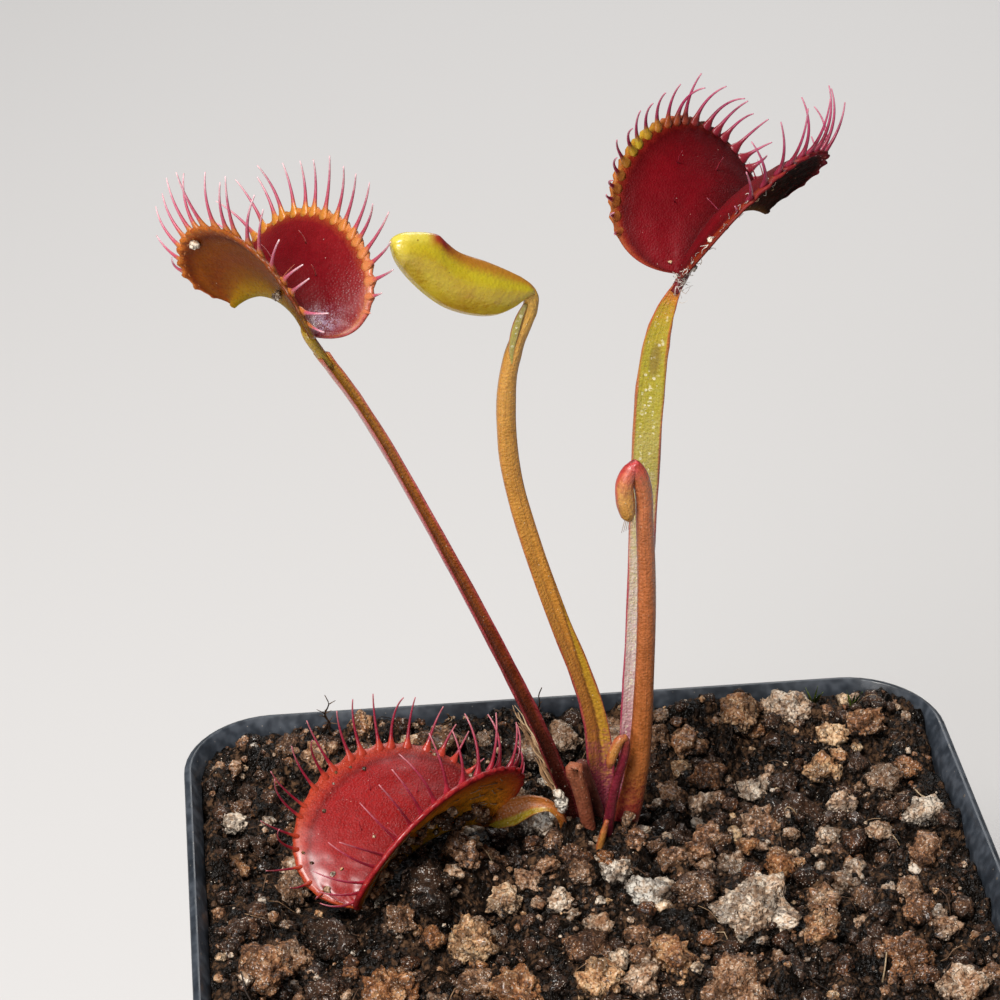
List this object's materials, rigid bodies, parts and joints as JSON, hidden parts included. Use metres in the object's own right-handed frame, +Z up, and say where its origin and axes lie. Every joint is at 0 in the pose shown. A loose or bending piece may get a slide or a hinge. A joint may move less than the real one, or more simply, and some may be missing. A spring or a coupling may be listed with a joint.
{
  "type": "potted venus flytrap",
  "caption": "Small carnivorous plant with toothed snap traps on slim leaf stalks, rooted in gritty peat in a square tapered nursery pot with rounded corners.",
  "frame": {"origin": "middle of the pot's flat underside", "axes": "+Z up; -Y is the front, from which the traps are seen open; +X to the right"},
  "size_m": [0.08, 0.08, 0.1515],
  "materials": {
    "pot_plastic": "satin",
    "peat_and_grit": "matte",
    "bulb": "satin",
    "stalk_red": "satin",
    "stalk_tan": "satin",
    "stalk_green": "satin",
    "trap_red": "satin",
    "trap_scarlet": "gloss",
    "trap_green": "satin",
    "young_orange": "satin",
    "dry_leaf": "satin"
  },
  "bodies": {
    "root": {"pot": "pot_plastic", "soil": "peat_and_grit", "rhizome": "bulb", "petiole_left": "stalk_red", "trap_left": "trap_red", "petiole_middle": "stalk_tan", "trap_middle": "trap_green", "petiole_right": "stalk_green", "trap_right": "trap_red", "petiole_low": "stalk_tan", "trap_low": "trap_scarlet", "leaf_young": "young_orange", "leaf_tiny": "young_orange", "leaf_bud": "young_orange", "stump": "stalk_red", "sheath": "dry_leaf"}
  },
  "joints": []
}
